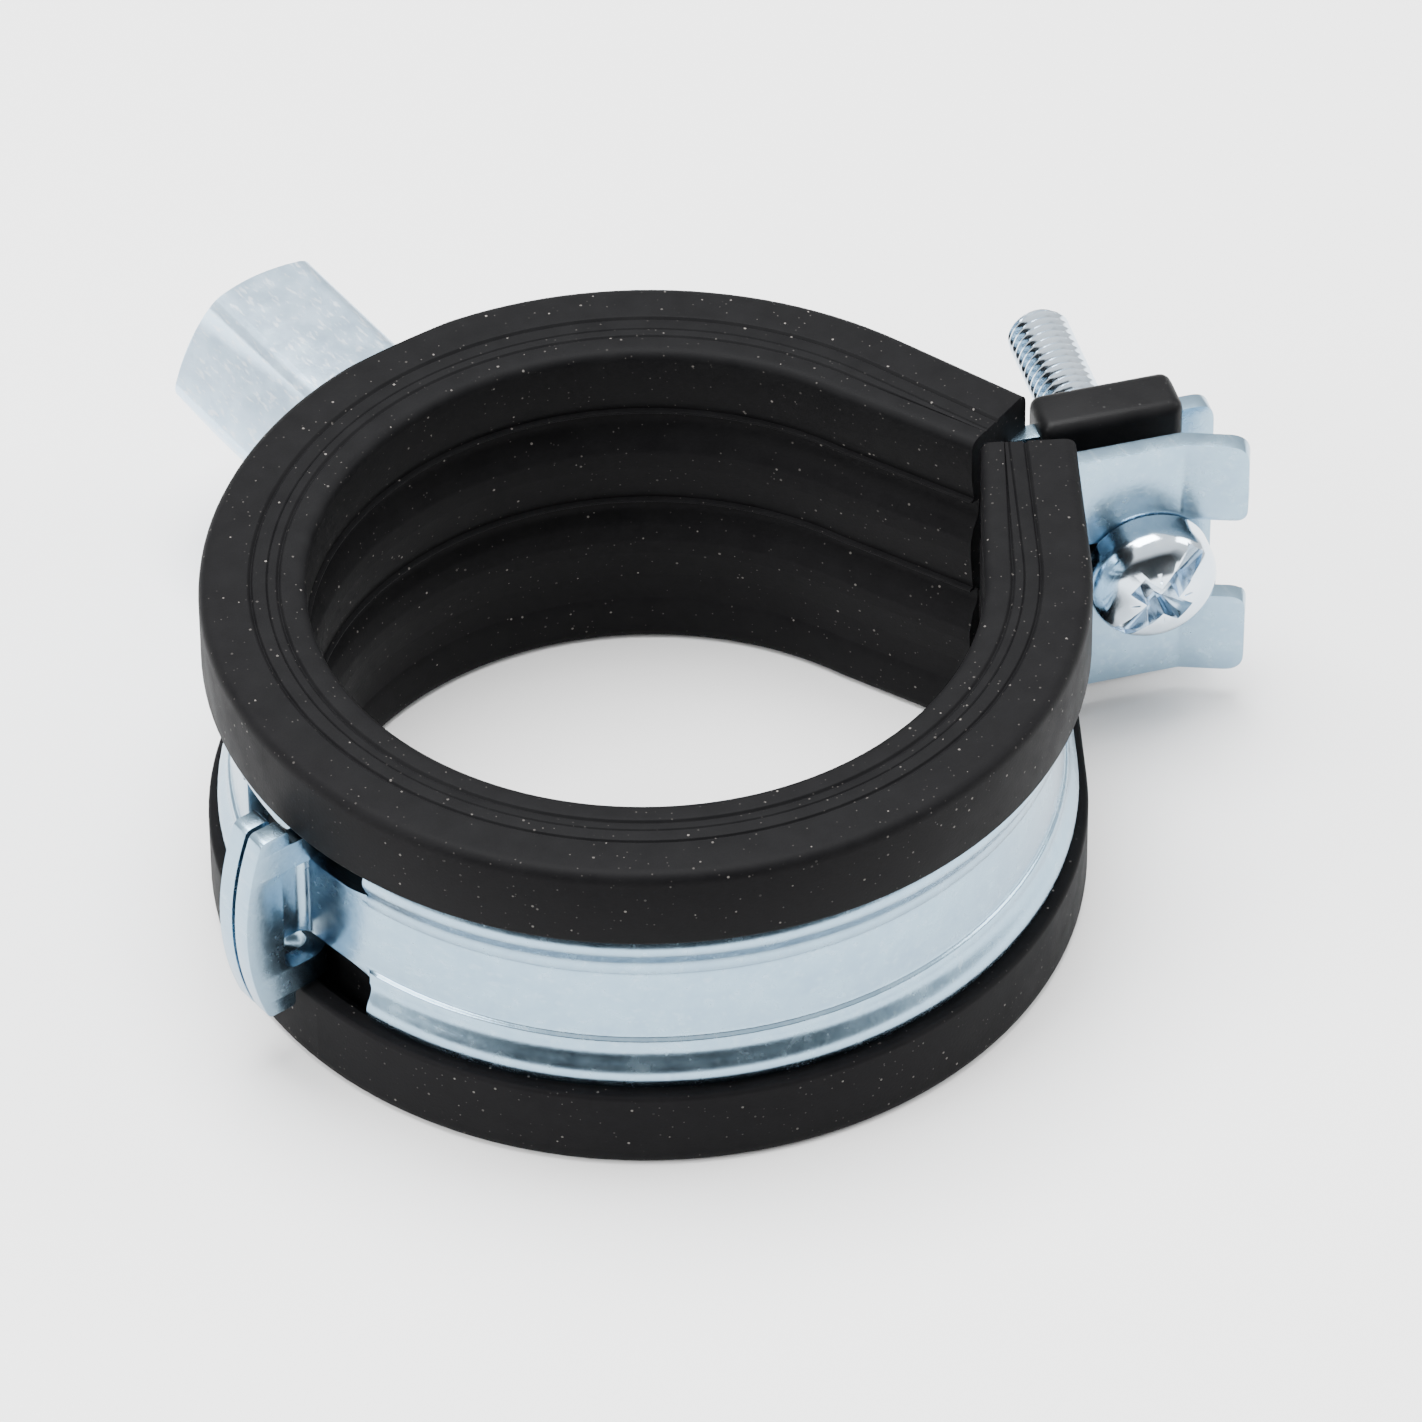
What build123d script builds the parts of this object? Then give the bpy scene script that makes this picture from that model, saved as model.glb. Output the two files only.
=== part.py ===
from build123d import *
from math import atan2, copysign, cos, degrees, radians, sin, tan
import os

# Rubber lined pipe clamp for a 1 1/2 inch steel pipe. Two formed steel straps carry a rubber liner,
# hook into each other on the -X side and are drawn together by one M5 screw on the +X side.
# A long hex nut welded to the nut half takes the hanger rod. Lengths are millimetres, angles degrees.
# Origin: centre of the pipe bore at mid width. +Z: pipe axis. +Y: axis of the hanger nut.

# --- bore and liner -------------------------------------------------------------------------------
BORE_RADIUS = 25.1          # bare bore inside the liner
LINER_BASE = 4.65           # rubber between the bore and the strap
LINER_WIDTH = 28.4          # along the pipe
LIP_COVER = 0.65            # rubber over the strap's edges
LIP_OPENING = 15.4          # clear width between the two lips
RIM_FILLET = 1.1            # inner rims
SHOULDER_FILLET = 0.8       # outer rims
FACE_LINE = 0.3             # depth and half width of the fine lines in the end faces
FACE_LINES = (0.27, 0.54)   # where they lie between the bore and the outside
GROOVE_DEPTH = 1.0          # grooves round the bore wall
GROOVE_HEIGHT = 1.9         # straight part of a groove
GROOVE_SHOULDER = 2.2       # rounded lower flank of a groove
GROOVE_TOPS = (8.65, -0.25)
END_THINNING = 0.85         # the rubber is drawn thinner towards the closure
NUT_LINER_STRAIGHT = 11.5   # straight length of rubber in the nut half
SWING_LINER_STRAIGHT = 12.8 # and in the swing half
LIP_PRESS = 0.5             # the lips are pressed flat by this beside the hanger nut
NOTCH_GAP = 0.1             # rubber clear of the rear flange

# --- strap ----------------------------------------------------------------------------------------
SHEET = 1.5                 # sheet thickness
STRAP_WIDTH = 20.0
BEAD_HEIGHT = 1.0           # raised beads either side of the flat middle
BEAD_FLANK = 0.7            # width of the sloping step up to a bead
BEAD_FILLET = 0.4
MIDDLE_WIDTH = 8.4          # flat middle between the beads
BEAD_STOP = 3.0             # the beads end this far before the closure's bend
SEAT_GAP = 0.05             # clearance between strap and rubber
BEND_RADIUS = 1.0           # inner radius of every sheet bend
SEAT_RISE = 0.5             # the beads are pressed flat to this height under the hanger nut

# --- closure: s runs outwards along the flanges, n across them towards the nut half ---------------
CLOSURE_ANGLE = -19.5       # direction of the flanges
NUT_STRAIGHT = 39.0         # the nut half leaves its circle this far before the flanges
SWING_STRAIGHT = -12.0      # the swing half leaves its circle here
REAR_FACE = 10.5            # n of the rear flange's front face
FLANGE_GAP = 2.6            # between the two flanges
REAR_REACH = 17.7           # the rear flange's outer end, beyond the strap's inner radius
TAB_REACH = 19.0            # the front flange's outer end, likewise
FLANGE_SPREAD = 0.9         # the rear flange is wider than the strap by this on each side
FORK_SPREAD = 1.2           # and the front one by this
TAB_LENGTH = 4.7            # of the fork's tabs, which lean towards the screw head
TAB_LEAN = 20.0
TAB_BEND_RADIUS = 3.0
TAB_FILLET = 1.5
FORK_RUN = 6.5              # the fork's slot runs this far inside the screw's axis
FORK_SLOT = 6.0
FORK_MOUTH = 8.2            # the slot is a little wider between the tabs

# --- closing screw and its retainer ---------------------------------------------------------------
SCREW_REACH = 11.2          # the screw's axis, beyond the strap's inner radius
SCREW_RADIUS = 2.5
SCREW_LENGTH = 29.0
SCREW_TIP = 0.8             # chamfer
HEAD_RADIUS = 5.0
HEAD_HEIGHT = 4.5
HEAD_CROWN = 0.6            # rise of the head's top
HEAD_FILLET = 1.4
DRIVE_DEPTH = 1.9
DRIVE_SLOT = 1.4
DRIVE_CROSS = 5.4
DRIVE_TURN = -49.0          # turn of the slot about the screw
RUNNING_GAP = 0.05          # between faces that slide on each other
THREAD_GAP = 0.1            # radial clearance of the screw in its threaded hole
RETAINER_LENGTH = 10.2
RETAINER_AHEAD = 3.6        # how far the retainer reaches past the screw's axis
RETAINER_FRONT_WALL = 1.0
RETAINER_BACK_WALL = 2.0
RETAINER_SIDE_WALL = 1.2
RETAINER_FILLET = 0.9
RETAINER_BORE_GAP = 0.25

# --- hook-in hinge: r runs outwards from the bore axis, t along the strap towards the swing half --
HINGE_ANGLE = 185.0
HINGE_LEAD = 5.0            # the strap runs straight over this last angle
HINGE_SPLIT = 0.1           # half the gap between the two lengths of rubber
EAR_REACH = 8.2             # both ears' outermost point, beyond the strap's inner radius
EAR_SAGITTA = 1.7           # drop of the ears' curved edge towards their corners
EAR_HEIGHT = 17.4
EAR_STEP = 4.1              # where the nut half's ear reaches its full height, likewise
EAR_FILLET = 1.0
EAR_GAP = 0.1               # between the two ears
LEG_HEIGHT = 14.6           # across the two legs that carry the nut half's ear
WINDOW_HEIGHT = 9.8
WINDOW_STEP = 4.9           # the window's outer edge in the ear, likewise
WINDOW_BACK = 11.5          # how far the window runs back into the strap
WINDOW_FILLET = 1.1
NECK_HEIGHT = 7.4
NECK_LENGTH = 5.8           # from the ear to the ends of the beads
NECK_FILLET = 1.2
T_STEP = 4.5                # where the swing half's T head reaches its full height, likewise

# --- hanger nut -----------------------------------------------------------------------------------
NUT_FLATS = 15.0
NUT_LENGTH = 21.4
NUT_FILLET = 0.8
NUT_CHAMFER = 1.3
ROD_CORE_RADIUS = 4.25      # core of the outer, larger thread
ROD_DEPTH = 10.0
SMALL_ROD_CORE_RADIUS = 3.4 # core of the inner, smaller thread
SMALL_ROD_DEPTH = 20.0

# --- worked out from the sizes above --------------------------------------------------------------
STRAP_RADIUS = BORE_RADIUS + LINER_BASE + SEAT_GAP      # inner face of the strap's middle
STRAP_OUTSIDE = SHEET + BEAD_HEIGHT                     # top of the beads above that face
LINER_OUTSIDE = STRAP_OUTSIDE + SEAT_GAP + LIP_COVER    # and of the rubber lips
SEAT_FLAT = STRAP_RADIUS + SHEET + SEAT_RISE            # y of the hanger nut's seat
LINER_FLAT = STRAP_RADIUS + LINER_OUTSIDE - LIP_PRESS
NUT_END = SEAT_FLAT + NUT_LENGTH
FLANGE_END = STRAP_RADIUS + REAR_REACH                  # s of the rear flange's outer end
FLANGE_WIDTH = STRAP_WIDTH + 2 * FLANGE_SPREAD
TAB_END = STRAP_RADIUS + TAB_REACH                      # and of the front one's
FORK_WIDTH = STRAP_WIDTH + 2 * FORK_SPREAD
SCREW_AT = STRAP_RADIUS + SCREW_REACH                   # s of the screw's axis
TAB_BEND_AT = TAB_END - TAB_LENGTH
FORK_ROOT = SCREW_AT - FORK_RUN
EAR_TOP = STRAP_RADIUS + EAR_REACH                      # r of the ears' outermost point
EAR_ROOT = STRAP_RADIUS + EAR_STEP
T_ROOT = STRAP_RADIUS + T_STEP
WINDOW_TOP = STRAP_RADIUS + WINDOW_STEP
NUT_TANGENT = CLOSURE_ANGLE + NUT_STRAIGHT
SWING_TANGENT = CLOSURE_ANGLE + SWING_STRAIGHT
FRONT_BACK_FACE = REAR_FACE - FLANGE_GAP
FRONT_FACE = FRONT_BACK_FACE - SHEET
OUTER_BEND = BEND_RADIUS + SHEET
SPLIT_ANGLE = degrees(HINGE_SPLIT / STRAP_RADIUS)
THROUGH = 100.0                                         # longer than anything it cuts

closure = Plane.XY.rotated((0, 0, CLOSURE_ANGLE))
closure_front = Plane(closure.origin, x_dir=closure.x_dir, z_dir=-closure.y_dir)
hinge = Plane.XY.rotated((0, 0, HINGE_ANGLE))
hinge_front = Plane(hinge.origin, x_dir=hinge.x_dir, z_dir=-hinge.y_dir)
hinge_outside = Plane(hinge.origin, x_dir=hinge.y_dir, z_dir=hinge.x_dir)


def direction(angle):
    """Unit vector at an angle from +X."""
    return Vector(cos(radians(angle)), sin(radians(angle)))


def across_strip(angle, along=0.0):
    """Plane across the strip where it leaves its circle: x outwards, y along the pipe.

    along moves it down the straight, positive in the direction of rising angles.
    """
    outwards = direction(angle)
    onwards = direction(angle + 90)
    return Plane(outwards * STRAP_RADIUS + onwards * along, x_dir=outwards, z_dir=-onwards)


def straight_meets(angle, n):
    """s where the strap's straight, tangent at an angle from the closure's s axis, crosses n."""
    return (STRAP_RADIUS - n * sin(radians(angle))) / cos(radians(angle))


def straight_run(angle, n):
    """Length of that straight from its tangent point to its crossing with n."""
    return abs(straight_meets(angle, n) * sin(radians(angle)) - n * cos(radians(angle)))


def strap_profile():
    """Section of the strap: flat middle, sloping flanks and two raised beads."""
    middle = MIDDLE_WIDTH / 2
    crest = middle + BEAD_FLANK
    edge = STRAP_WIDTH / 2
    inside = SHEET * tan(atan2(BEAD_HEIGHT, BEAD_FLANK) / 2)
    half = [(SHEET, middle), (STRAP_OUTSIDE, crest), (STRAP_OUTSIDE, edge),
            (BEAD_HEIGHT, edge), (BEAD_HEIGHT, crest + inside), (0, middle + inside)]
    other = [(x, -y) for x, y in reversed(half)]
    with BuildLine() as outline:
        Polyline(*half, *other, close=True)
    make_face(outline.edges())
    fillet(vertices().group_by(Axis.X)[-1], radius=BEAD_FILLET)


def liner_profile(thinning=0.0):
    """Section of the rubber: grooved bore wall, lined end faces and two lips over the strap."""
    rim = LINER_WIDTH / 2
    bore = thinning - LINER_BASE - SEAT_GAP
    pocket = STRAP_OUTSIDE + SEAT_GAP
    edge = STRAP_WIDTH / 2 + SEAT_GAP
    lip = LIP_OPENING / 2
    upper = [(bore + RIM_FILLET, rim)]
    for share in FACE_LINES:
        line = bore + share * (LINER_OUTSIDE - bore)
        upper += [(line - FACE_LINE, rim), (line, rim - FACE_LINE), (line + FACE_LINE, rim)]
    upper += [(LINER_OUTSIDE - SHOULDER_FILLET, rim), (LINER_OUTSIDE, rim - SHOULDER_FILLET),
              (LINER_OUTSIDE, lip), (pocket, lip), (pocket, edge), (-SEAT_GAP, edge)]
    lower = [(x, -y) for x, y in reversed(upper)]
    start = (bore, RIM_FILLET - rim)
    with BuildLine() as outline:
        Polyline(*upper, *lower)
        TangentArc(start, lower[-1], tangent=(0, -1))
        for top in reversed(GROOVE_TOPS):
            flank = (bore, top - GROOVE_HEIGHT - GROOVE_SHOULDER)
            foot = (bore + GROOVE_DEPTH, top - GROOVE_HEIGHT)
            Line(start, flank)
            TangentArc(flank, foot, tangent=(0, 1))
            start = (bore, top)
            Polyline(foot, (bore + GROOVE_DEPTH, top), start)
        Line(start, (bore, rim - RIM_FILLET))
        TangentArc((bore, rim - RIM_FILLET), upper[0], tangent=(0, 1))
    make_face(outline.edges())


def bent_sheet(points, radii, side):
    """Edge view of a bent sheet whose inner face follows these points."""
    with BuildLine() as outline:
        FilletPolyline(*points, radius=radii)
        offset(amount=SHEET, side=side)
    make_face(outline.edges())


def ear_outline(root, root_height):
    """A hinge ear seen along the strap: narrow root, full height above it, curved outer edge."""
    tall = EAR_HEIGHT / 2
    narrow = root_height / 2
    shoulder = EAR_TOP - EAR_SAGITTA
    with BuildLine() as outline:
        Polyline((shoulder, -tall), (root, -tall), (root, -narrow), (0, -narrow),
                 (0, narrow), (root, narrow), (root, tall), (shoulder, tall))
        ThreePointArc((shoulder, tall), (EAR_TOP, 0), (shoulder, -tall))
    make_face(outline.edges())
    fillet(vertices().group_by(Axis.X)[-1], radius=EAR_FILLET)


def flange_outline(half_widths):
    """A flange seen along the screw, from (s, half width) pairs, with rounded outer corners."""
    other = [(s, -half) for s, half in reversed(half_widths)]
    with BuildLine() as outline:
        Polyline(*half_widths, *other, close=True)
    make_face(outline.edges())
    fillet(vertices().group_by(Axis.X)[-1], radius=TAB_FILLET)


def hinge_path(t):
    """Inner face of a strap as it runs into the hinge and turns outwards to a face at t."""
    lead = radians(HINGE_LEAD)
    start = (STRAP_RADIUS * cos(lead), -copysign(STRAP_RADIUS * sin(lead), t))
    turn = ((STRAP_RADIUS + abs(t) * sin(lead)) / cos(lead), t)
    return [start, turn, (EAR_TOP, t)]


def closure_path(angle, run, n):
    """Inner face of a strap from a point down its straight to its corner with the flange at n."""
    along = -copysign(run, angle)
    start = closure.to_local_coords(across_strip(CLOSURE_ANGLE + angle, along).origin)
    return [(start.X, start.Y), (straight_meets(angle, n), n)]


# --- strap of the nut half: flange, ear and the beaded band between them --------------------------
rear_band = straight_run(NUT_STRAIGHT, REAR_FACE) - BEAD_STOP
rear_step = straight_meets(NUT_STRAIGHT, REAR_FACE) + OUTER_BEND

with BuildPart() as rear_flange:
    with BuildSketch(closure):
        bent_sheet([*closure_path(NUT_STRAIGHT, rear_band, REAR_FACE), (FLANGE_END, REAR_FACE)],
                   OUTER_BEND, Side.LEFT)
    extrude(amount=FLANGE_WIDTH / 2, both=True)
    with BuildSketch(closure_front):
        flange_outline([(0, STRAP_WIDTH / 2), (rear_step, STRAP_WIDTH / 2),
                        (rear_step, FLANGE_WIDTH / 2), (FLANGE_END, FLANGE_WIDTH / 2)])
    extrude(amount=THROUGH, both=True, mode=Mode.INTERSECT)
    with BuildSketch(closure_front):
        with Locations((SCREW_AT, 0)):
            Circle(SCREW_RADIUS + THREAD_GAP)
    extrude(amount=THROUGH, both=True, mode=Mode.SUBTRACT)

with BuildPart() as nut_ear:
    with BuildSketch(hinge):
        bent_sheet(hinge_path(SHEET), OUTER_BEND, Side.RIGHT)
    extrude(amount=EAR_HEIGHT / 2, both=True)
    with BuildSketch(hinge_front):
        ear_outline(EAR_ROOT, LEG_HEIGHT)
    extrude(amount=THROUGH, both=True, mode=Mode.INTERSECT)

with BuildPart() as strap_nut_half:
    with BuildSketch(across_strip(NUT_TANGENT)):
        strap_profile()
    extrude(amount=rear_band)
    with BuildSketch(across_strip(NUT_TANGENT)):
        strap_profile()
    revolve(axis=Axis.Z, revolution_arc=HINGE_ANGLE - HINGE_LEAD - NUT_TANGENT)
    add(rear_flange.part)
    add(nut_ear.part)
    with BuildSketch(hinge_front.offset(-OUTER_BEND)):
        with Locations((STRAP_RADIUS, 0)):
            RectangleRounded(2 * (WINDOW_TOP - STRAP_RADIUS), WINDOW_HEIGHT, WINDOW_FILLET)
    extrude(amount=WINDOW_BACK + OUTER_BEND, mode=Mode.SUBTRACT)
    with Locations((0, SEAT_FLAT, 0)):
        Box(STRAP_WIDTH, STRAP_WIDTH, STRAP_WIDTH, mode=Mode.SUBTRACT,
            align=(Align.CENTER, Align.MIN, Align.CENTER))
strap_nut_half.part.label = "strap_nut_half"

# --- strap of the swing half: forked flange, T head on its neck and the beaded band ---------------
front_band = straight_run(SWING_STRAIGHT, FRONT_BACK_FACE) - BEAD_STOP - OUTER_BEND
front_step = straight_meets(SWING_STRAIGHT, FRONT_BACK_FACE) + OUTER_BEND
tab_drop = TAB_LENGTH * tan(radians(TAB_LEAN))

with BuildPart() as front_flange:
    with BuildSketch(closure):
        bent_sheet([*closure_path(SWING_STRAIGHT, front_band, FRONT_BACK_FACE),
                    (TAB_BEND_AT, FRONT_BACK_FACE), (TAB_END, FRONT_BACK_FACE - tab_drop)],
                   (OUTER_BEND, TAB_BEND_RADIUS), Side.RIGHT)
    extrude(amount=FORK_WIDTH / 2, both=True)
    with BuildSketch(closure_front):
        flange_outline([(0, STRAP_WIDTH / 2), (front_step, STRAP_WIDTH / 2),
                        (front_step, FORK_WIDTH / 2), (TAB_END, FORK_WIDTH / 2)])
    extrude(amount=THROUGH, both=True, mode=Mode.INTERSECT)
    with BuildSketch(closure_front):
        with BuildLine():
            slot = [(FORK_ROOT, FORK_SLOT / 2), (TAB_BEND_AT - SHEET, FORK_SLOT / 2),
                    (TAB_BEND_AT, FORK_MOUTH / 2), (TAB_END + SHEET, FORK_MOUTH / 2)]
            Polyline(*slot, *[(s, -half) for s, half in reversed(slot)], close=True)
        make_face()
        fillet(vertices().group_by(Axis.X)[0], radius=SCREW_RADIUS)
    extrude(amount=THROUGH, both=True, mode=Mode.SUBTRACT)

with BuildPart() as swing_ear:
    with BuildSketch(hinge):
        bent_sheet(hinge_path(-SHEET - EAR_GAP), OUTER_BEND, Side.LEFT)
    extrude(amount=EAR_HEIGHT / 2, both=True)
    with BuildSketch(hinge_front):
        ear_outline(T_ROOT, NECK_HEIGHT)
    extrude(amount=THROUGH, both=True, mode=Mode.INTERSECT)

with BuildPart() as strap_swing_half:
    with BuildSketch(across_strip(SWING_TANGENT)):
        strap_profile()
    extrude(amount=-front_band)
    with BuildSketch(across_strip(SWING_TANGENT)):
        strap_profile()
    revolve(axis=Axis.Z, revolution_arc=HINGE_ANGLE + HINGE_LEAD - SWING_TANGENT - 360)
    with BuildSketch(hinge_outside.offset(STRAP_RADIUS)):
        with Locations((NECK_LENGTH, NECK_HEIGHT / 2), (NECK_LENGTH, -NECK_HEIGHT / 2 - STRAP_WIDTH)):
            RectangleRounded(STRAP_WIDTH, STRAP_WIDTH, NECK_FILLET, align=(Align.MAX, Align.MIN))
    extrude(amount=STRAP_OUTSIDE + BEAD_HEIGHT, both=True, mode=Mode.SUBTRACT)
    add(front_flange.part)
    add(swing_ear.part)
strap_swing_half.part.label = "strap_swing_half"

# --- rubber liner, one length in each half --------------------------------------------------------
with BuildPart() as liner_nut_half:
    with BuildSketch(across_strip(NUT_TANGENT)):
        liner_profile()
    revolve(axis=Axis.Z, revolution_arc=HINGE_ANGLE - SPLIT_ANGLE - NUT_TANGENT)
    with BuildSketch(across_strip(NUT_TANGENT)):
        liner_profile()
    with BuildSketch(across_strip(NUT_TANGENT, -NUT_LINER_STRAIGHT)):
        liner_profile(END_THINNING)
    loft(ruled=True)
    with BuildSketch(closure_front.offset(-REAR_FACE + NOTCH_GAP)):
        with Locations((straight_meets(NUT_STRAIGHT, REAR_FACE), 0)):
            Rectangle(FLANGE_END, FLANGE_WIDTH + 2 * NOTCH_GAP, align=(Align.MIN, Align.CENTER))
    extrude(amount=-SHEET - 2 * NOTCH_GAP, mode=Mode.SUBTRACT)
    with Locations((0, LINER_FLAT, 0)):
        Box(STRAP_WIDTH, STRAP_WIDTH, THROUGH, mode=Mode.SUBTRACT,
            align=(Align.CENTER, Align.MIN, Align.CENTER))
liner_nut_half.part.label = "liner_nut_half"

with BuildPart() as liner_swing_half:
    with BuildSketch(across_strip(SWING_TANGENT)):
        liner_profile()
    revolve(axis=Axis.Z, revolution_arc=HINGE_ANGLE + SPLIT_ANGLE - SWING_TANGENT - 360)
    with BuildSketch(across_strip(SWING_TANGENT)):
        liner_profile()
    with BuildSketch(across_strip(SWING_TANGENT, SWING_LINER_STRAIGHT)):
        liner_profile(END_THINNING)
    loft(ruled=True)
liner_swing_half.part.label = "liner_swing_half"

# --- hanger nut: long hexagon, chamfered outside, with a stepped thread ---------------------------
nut_seat = Plane(origin=(0, SEAT_FLAT, 0), x_dir=(1, 0, 0), z_dir=(0, 1, 0))
nut_length = NUT_END - SEAT_FLAT
corner_radius = NUT_FLATS / 2 / cos(radians(30))

with BuildPart() as hanger_nut:
    with BuildSketch(nut_seat):
        RegularPolygon(NUT_FLATS / 2, 6, major_radius=False)
        fillet(vertices(), radius=NUT_FILLET)
    extrude(amount=nut_length)
    with BuildSketch(nut_seat):
        Circle(corner_radius)
    extrude(amount=nut_length, mode=Mode.INTERSECT)
    with BuildSketch(Plane.XY):
        with BuildLine():
            Polyline((corner_radius, NUT_END - NUT_CHAMFER * tan(radians(30))),
                     (corner_radius, NUT_END), (corner_radius - NUT_CHAMFER, NUT_END), close=True)
        make_face()
    revolve(axis=Axis.Y, mode=Mode.SUBTRACT)
    with Locations(Plane(origin=(0, NUT_END, 0), x_dir=(1, 0, 0), z_dir=(0, 1, 0))):
        CounterBoreHole(SMALL_ROD_CORE_RADIUS, ROD_CORE_RADIUS, ROD_DEPTH, SMALL_ROD_DEPTH)
hanger_nut.part.label = "hanger_nut"

# --- closing screw: pan head with a slot and a cross, plain shank to the thread's outside ---------
screw_side = Plane(closure.from_local_coords((SCREW_AT, FRONT_FACE - RUNNING_GAP, 0)),
                   x_dir=closure.x_dir, z_dir=(0, 0, 1))
head_rim = HEAD_CROWN - HEAD_HEIGHT
head_top = screw_side.from_local_coords((0, -HEAD_HEIGHT, 0))
drive = Plane(head_top, x_dir=closure.x_dir, z_dir=closure.y_dir)

with BuildPart() as clamp_screw:
    with BuildSketch(screw_side):
        with BuildLine():
            Polyline((0, -HEAD_HEIGHT), (0, SCREW_LENGTH), (SCREW_RADIUS - SCREW_TIP, SCREW_LENGTH),
                     (SCREW_RADIUS, SCREW_LENGTH - SCREW_TIP), (SCREW_RADIUS, 0), (HEAD_RADIUS, 0),
                     (HEAD_RADIUS, head_rim))
            TangentArc((0, -HEAD_HEIGHT), (HEAD_RADIUS, head_rim), tangent=(1, 0))
        make_face()
        fillet(vertices().sort_by_distance(screw_side.from_local_coords((HEAD_RADIUS, head_rim, 0)))[0],
               radius=HEAD_FILLET)
    revolve(axis=Axis(screw_side.origin, screw_side.y_dir))
    with BuildSketch(drive):
        Rectangle(2 * HEAD_RADIUS, DRIVE_SLOT, rotation=DRIVE_TURN)
        Rectangle(DRIVE_CROSS, DRIVE_SLOT, rotation=DRIVE_TURN + 90)
    extrude(amount=DRIVE_DEPTH, mode=Mode.SUBTRACT)
clamp_screw.part.label = "clamp_screw"

# --- retainer: plastic sleeve on the rear flange that keeps the screw -----------------------------
with BuildPart() as screw_retainer:
    with BuildSketch(closure_front.offset(RETAINER_FRONT_WALL - REAR_FACE)):
        with Locations((SCREW_AT + RETAINER_AHEAD, 0)):
            Rectangle(RETAINER_LENGTH, FLANGE_WIDTH + 2 * RETAINER_SIDE_WALL, align=(Align.MAX, Align.CENTER))
    extrude(amount=-SHEET - RETAINER_FRONT_WALL - RETAINER_BACK_WALL)
    fillet(edges(), radius=RETAINER_FILLET)
    with BuildSketch(closure_front.offset(SEAT_GAP - REAR_FACE)):
        with Locations((SCREW_AT, 0)):
            Rectangle(THROUGH, FLANGE_WIDTH + 2 * SEAT_GAP)
    extrude(amount=-SHEET - 2 * SEAT_GAP, mode=Mode.SUBTRACT)
    with BuildSketch(closure_front):
        with Locations((SCREW_AT, 0)):
            Circle(SCREW_RADIUS + RETAINER_BORE_GAP)
    extrude(amount=THROUGH, both=True, mode=Mode.SUBTRACT)
screw_retainer.part.label = "screw_retainer"

os.makedirs("parts", exist_ok=True)
for piece in (strap_nut_half, strap_swing_half, liner_nut_half, liner_swing_half,
              hanger_nut, clamp_screw, screw_retainer):
    export_step(piece.part, f"parts/{piece.part.label}.step")
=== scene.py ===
"""Dresses the rubber lined pipe clamp: liner, straps, hanger nut, closing screw and retainer.

Pieces are drawn in millimetres, seen along the pipe, and scaled to metres once each is finished.
"""

import logging
from dataclasses import dataclass, field
from enum import Enum
from math import atan2, ceil, cos, degrees, hypot, pi, radians, sin, sqrt, tan
from typing import Callable, Sequence

import bpy
from mathutils import Matrix, Vector


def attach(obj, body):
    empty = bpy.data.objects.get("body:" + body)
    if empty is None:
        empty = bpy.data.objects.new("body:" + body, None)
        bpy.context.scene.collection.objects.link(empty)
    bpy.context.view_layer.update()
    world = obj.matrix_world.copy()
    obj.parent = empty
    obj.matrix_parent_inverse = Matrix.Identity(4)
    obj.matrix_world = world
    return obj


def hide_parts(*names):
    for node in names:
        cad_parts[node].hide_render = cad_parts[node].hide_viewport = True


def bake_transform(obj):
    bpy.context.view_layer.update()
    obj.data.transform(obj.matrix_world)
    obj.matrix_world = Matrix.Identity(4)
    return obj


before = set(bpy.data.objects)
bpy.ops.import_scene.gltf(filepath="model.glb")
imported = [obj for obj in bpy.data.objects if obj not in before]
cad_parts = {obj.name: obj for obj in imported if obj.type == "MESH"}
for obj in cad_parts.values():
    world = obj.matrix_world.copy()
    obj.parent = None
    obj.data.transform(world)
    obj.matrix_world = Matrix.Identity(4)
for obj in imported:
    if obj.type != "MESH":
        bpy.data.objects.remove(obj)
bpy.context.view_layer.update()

log = logging.getLogger("clamp")
MM = 0.001
Flat = tuple[float, float]


class Body(Enum):
    """The moving bodies of the clamp."""

    NUT_HALF = "nut_half"
    SWING_HALF = "swing_half"
    SCREW = "screw"


class Slot(Enum):
    """The record's material slots."""

    STRAP = "zinc_steel"
    BRIGHT = "zinc_nut"
    RUBBER = "black_rubber"
    PLASTIC = "black_plastic"


# --- working frames ---------------------------------------------------------------------------


def polar(angle: float, radius: float = 1.0) -> Vector:
    """Point at an angle in degrees from +X and a radius from the pipe's axis."""
    return Vector((radius * cos(radians(angle)), radius * sin(radians(angle)), 0.0))


@dataclass(frozen=True)
class Compass:
    """A frame turned about the pipe: one axis runs outwards, the other across it."""

    angle: float

    def point(self, out: float, across: float, z: float = 0.0) -> Vector:
        """Point that far outwards and across, at a height."""
        return polar(self.angle, out) + polar(self.angle + 90, across) + Vector((0, 0, z))

    def matrix(self) -> Matrix:
        """Rotation from the frame's own axes to the clamp's."""
        return Matrix.Rotation(radians(self.angle), 4, "Z")


CLOSURE = Compass(-19.5)
HINGE = Compass(182.4)


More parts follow.
